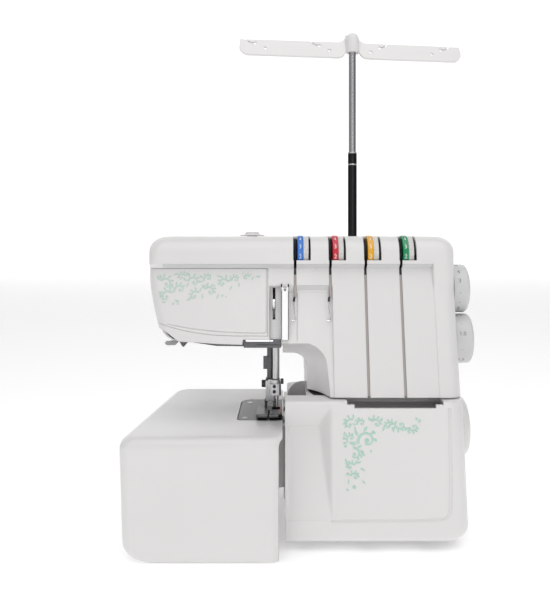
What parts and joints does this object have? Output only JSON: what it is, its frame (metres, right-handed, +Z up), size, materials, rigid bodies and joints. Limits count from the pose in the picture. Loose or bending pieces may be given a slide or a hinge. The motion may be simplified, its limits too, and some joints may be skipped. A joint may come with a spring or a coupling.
{
  "type": "serger overlock machine",
  "caption": "Free-arm overlock sewing machine with extension table, hinged looper cover, coloured tension dials, side dials, handwheel and telescopic thread stand.",
  "frame": {"origin": "centre of the bounding box, on the surface the machine stands on", "axes": "+X to the operator's right (handwheel side), +Y away from the operator, +Z up"},
  "size_m": [0.33, 0.266, 0.4815],
  "materials": {
    "white_plastic": "satin gloss moulded plastic",
    "grey_plastic": "matte",
    "black_plastic": "satin",
    "clear_plastic": "frosted",
    "blue_plastic": "gloss, with a white inner drum",
    "red_plastic": "gloss, with a white inner drum",
    "yellow_plastic": "gloss, with a white inner drum",
    "green_plastic": "gloss, with a white inner drum",
    "chrome": "polished",
    "steel": "brushed",
    "dark_steel": "darkened, brushed",
    "cast_metal": "rough cast",
    "rubber": "matte"
  },
  "bodies": {
    "machine": {"base_pan": "grey_plastic", "foot_front_left": "rubber", "foot_front_right": "rubber", "foot_rear_left": "rubber", "foot_rear_right": "rubber", "base_housing": "white_plastic", "main_frame": "cast_metal", "front_cover": "white_plastic", "rear_cover": "white_plastic", "free_arm_cover": "white_plastic", "needle_plate": "dark_steel", "lower_knife": "steel", "take_up_guard": "chrome", "thread_guide_wire_left": "chrome", "thread_guide_wire_right": "chrome", "thread_cutter": "grey_plastic", "light_lens": "clear_plastic", "head_plate": "dark_steel", "spool_stand": "white_plastic", "spool_pin_outer_left": "white_plastic", "spool_pin_inner_left": "white_plastic", "spool_pin_inner_right": "white_plastic", "spool_pin_outer_right": "white_plastic", "pole_outer_tube": "black_plastic", "motor": "dark_steel", "drive_belt": "rubber", "power_inlet": "black_plastic"},
    "cover_carriage": {"cover_hinge_rod": "steel"},
    "looper_cover_body": {"looper_cover": "white_plastic"},
    "handwheel_shaft": {"handwheel": "white_plastic", "main_shaft": "steel", "shaft_pulley": "black_plastic"},
    "motor_rotor": {"motor_pulley": "black_plastic"},
    "needle_bar_body": {"needle_bar": "steel", "needle_clamp": "steel", "needle_left": "chrome", "needle_right": "chrome"},
    "needle_drive": {"needle_drive_shaft": "steel"},
    "take_up": {"take_up_lever": "chrome"},
    "presser_bar_body": {"presser_bar": "dark_steel", "foot_holder": "steel"},
    "presser_foot_body": {"presser_foot": "steel"},
    "presser_lifter_body": {"presser_lifter": "grey_plastic"},
    "upper_knife_body": {"upper_knife": "steel"},
    "upper_looper_body": {"upper_looper": "steel"},
    "lower_looper_body": {"lower_looper": "steel"},
    "main_feed": {"main_feed_dog": "steel"},
    "differential_feed": {"differential_feed_dog": "steel"},
    "dial_blue": {"tension_dial_blue": "blue_plastic"},
    "dial_red": {"tension_dial_red": "red_plastic"},
    "dial_yellow": {"tension_dial_yellow": "yellow_plastic"},
    "dial_green": {"tension_dial_green": "green_plastic"},
    "stitch_dial": {"stitch_length_dial": "white_plastic"},
    "differential_dial_body": {"differential_dial": "white_plastic"},
    "pressure_dial_body": {"pressure_dial": "white_plastic"},
    "face_cover_body": {"face_cover": "white_plastic"},
    "table": {"extension_table": "white_plastic"},
    "pole_upper": {"pole_upper_tube": "chrome"},
    "guide_bar": {"thread_guide_bar": "white_plastic"},
    "switch_rocker": {"power_switch": "black_plastic"}
  },
  "joints": [
    {"name": "looper_cover_slide", "type": "slide", "parent": "machine", "child": "cover_carriage", "axis": [1, 0, 0], "range_m": [0, 0.006]},
    {"name": "looper_cover_tilt", "type": "hinge", "parent": "cover_carriage", "child": "looper_cover_body", "pos_m": [0.0363, -0.102, 0.0105], "axis": [1, 0, 0], "range_deg": [0, 80]},
    {"name": "handwheel_spin", "type": "hinge", "parent": "machine", "child": "handwheel_shaft", "pos_m": [0.1163, -0.038, 0.083], "axis": [1, 0, 0], "continuous": true},
    {"name": "motor_spin", "type": "hinge", "parent": "machine", "child": "motor_rotor", "pos_m": [0.0763, 0.007, 0.044], "axis": [1, 0, 0], "continuous": true},
    {"name": "needle_bar_travel", "type": "slide", "parent": "machine", "child": "needle_bar_body", "axis": [0, 0, 1], "range_m": [0, 0.024]},
    {"name": "needle_drive_rock", "type": "hinge", "parent": "machine", "child": "needle_drive", "pos_m": [-0.0297, -0.025, 0.204], "axis": [1, 0, 0], "range_deg": [-54, 0]},
    {"name": "take_up_swing", "type": "hinge", "parent": "machine", "child": "take_up", "pos_m": [-0.0487, -0.043, 0.199], "axis": [1, 0, 0], "range_deg": [-12, 0]},
    {"name": "presser_bar_lift", "type": "slide", "parent": "machine", "child": "presser_bar_body", "axis": [0, 0, 1], "range_m": [0, 0.0054]},
    {"name": "presser_foot_tilt", "type": "hinge", "parent": "presser_bar_body", "child": "presser_foot_body", "pos_m": [-0.0472, -0.037, 0.106], "axis": [1, 0, 0], "range_deg": [-8, 0]},
    {"name": "presser_lifter_swing", "type": "hinge", "parent": "machine", "child": "presser_lifter_body", "pos_m": [-0.0617, 0.021, 0.178], "axis": [1, 0, 0], "range_deg": [0, 35]},
    {"name": "upper_knife_travel", "type": "slide", "parent": "machine", "child": "upper_knife_body", "axis": [0, 0, 1], "range_m": [0, 0.007]},
    {"name": "upper_looper_swing", "type": "hinge", "parent": "machine", "child": "upper_looper_body", "pos_m": [-0.0077, -0.0673, 0.036], "axis": [0, 1, 0], "range_deg": [0, 10]},
    {"name": "lower_looper_swing", "type": "hinge", "parent": "machine", "child": "lower_looper_body", "pos_m": [-0.0757, -0.0613, 0.052], "axis": [0, 1, 0], "range_deg": [0, 8]},
    {"name": "main_feed_travel", "type": "slide", "parent": "machine", "child": "main_feed", "axis": [0, 1, 0], "range_m": [0, 0.003]},
    {"name": "differential_feed_travel", "type": "slide", "parent": "machine", "child": "differential_feed", "axis": [0, 1, 0], "range_m": [0, 0.003]},
    {"name": "tension_blue_turn", "type": "hinge", "parent": "machine", "child": "dial_blue", "pos_m": [-0.018, -0.0642, 0.2413], "axis": [1, 0, 0], "range_deg": [-100, 170]},
    {"name": "tension_red_turn", "type": "hinge", "parent": "machine", "child": "dial_red", "pos_m": [0.0123, -0.0642, 0.2413], "axis": [1, 0, 0], "range_deg": [-100, 170]},
    {"name": "tension_yellow_turn", "type": "hinge", "parent": "machine", "child": "dial_yellow", "pos_m": [0.0426, -0.0642, 0.2413], "axis": [1, 0, 0], "range_deg": [-100, 170]},
    {"name": "tension_green_turn", "type": "hinge", "parent": "machine", "child": "dial_green", "pos_m": [0.0729, -0.0642, 0.2413], "axis": [1, 0, 0], "range_deg": [-100, 170]},
    {"name": "stitch_length_turn", "type": "hinge", "parent": "machine", "child": "stitch_dial", "pos_m": [0.1213, -0.048, 0.21], "axis": [1, 0, 0], "range_deg": [-90, 180]},
    {"name": "differential_turn", "type": "hinge", "parent": "machine", "child": "differential_dial_body", "pos_m": [0.1213, -0.0555, 0.166], "axis": [1, 0, 0], "range_deg": [-60, 180]},
    {"name": "pressure_turn", "type": "hinge", "parent": "machine", "child": "pressure_dial_body", "pos_m": [-0.0637, -0.041, 0.259], "axis": [0, 0, 1], "range_deg": [-180, 180]},
    {"name": "face_cover_swing", "type": "hinge", "parent": "machine", "child": "face_cover_body", "pos_m": [-0.1525, -0.031, 0.2], "axis": [0, 0, 1], "range_deg": [-95, 0]},
    {"name": "extension_table_pull", "type": "slide", "parent": "machine", "child": "table", "axis": [-1, 0, 0], "range_m": [0, 0.14]},
    {"name": "pole_slide", "type": "slide", "parent": "machine", "child": "pole_upper", "axis": [0, 0, 1], "range_m": [-0.085, 0]},
    {"name": "guide_bar_turn", "type": "hinge", "parent": "pole_upper", "child": "guide_bar", "pos_m": [0.0407, 0.092, 0.462], "axis": [0, 0, 1], "range_deg": [-90, 90]},
    {"name": "power_switch_rock", "type": "hinge", "parent": "machine", "child": "switch_rocker", "pos_m": [0.1083, 0.0125, 0.058], "axis": [0, 1, 0], "range_deg": [-9, 0]}
  ],
  "couplings": [
    {"joint": "motor_spin", "follows": "handwheel_spin", "ratio": 3.1111},
    {"joint": "needle_drive_rock", "follows": "needle_bar_travel", "rad_per_m": -38.543},
    {"joint": "take_up_swing", "follows": "needle_bar_travel", "rad_per_m": -8.5812},
    {"joint": "upper_knife_travel", "follows": "needle_bar_travel", "ratio": 0.2875},
    {"joint": "upper_looper_swing", "follows": "needle_bar_travel", "rad_per_m": 7.1268},
    {"joint": "lower_looper_swing", "follows": "needle_bar_travel", "rad_per_m": 5.6723},
    {"joint": "main_feed_travel", "follows": "needle_bar_travel", "ratio": 0.12083},
    {"joint": "differential_feed_travel", "follows": "needle_bar_travel", "ratio": 0.12083},
    {"joint": "presser_lifter_swing", "follows": "presser_bar_lift", "rad_per_m": 112.48}
  ]
}
